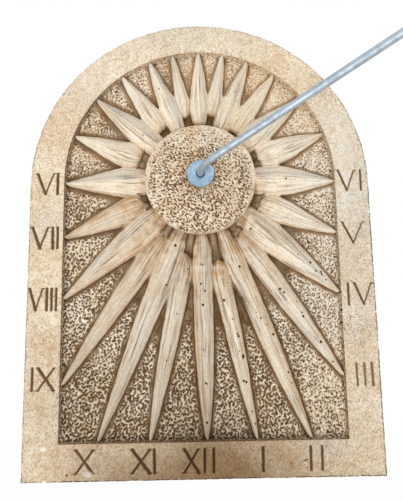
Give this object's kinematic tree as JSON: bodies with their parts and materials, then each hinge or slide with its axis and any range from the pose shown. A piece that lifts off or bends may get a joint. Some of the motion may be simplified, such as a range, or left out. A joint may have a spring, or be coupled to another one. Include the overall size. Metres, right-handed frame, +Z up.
{
  "type": "vertical garden sundial",
  "caption": "Arched cast-stone wall sundial with a domed sun disc, carved rays on the hour lines and a swivelling bent-rod gnomon.",
  "frame": {"origin": "on the wall plane, at the axis of the gnomon's tail", "axes": "+X to the reader's right, +Y into the wall (the outward normal of the back face), +Z up"},
  "size_m": [0.3, 0.1664, 0.4],
  "materials": {
    "cast_stone": "matte",
    "brass": "satin",
    "washer_zinc": "satin",
    "rod_zinc": "satin",
    "galvanised_wire": "satin"
  },
  "bodies": {
    "dial": {"dial_plaque": "cast_stone", "gnomon_bush": "brass", "front_washer": "washer_zinc", "hanger_wire": "galvanised_wire"},
    "gnomon": {"gnomon_rod": "rod_zinc", "back_washer": "galvanised_wire", "lock_nut": "galvanised_wire"}
  },
  "joints": [
    {"name": "gnomon_swivel", "type": "hinge", "parent": "dial", "child": "gnomon", "pos_m": [0, -0.029, 0], "axis": [0, -1, 0], "continuous": true}
  ]
}
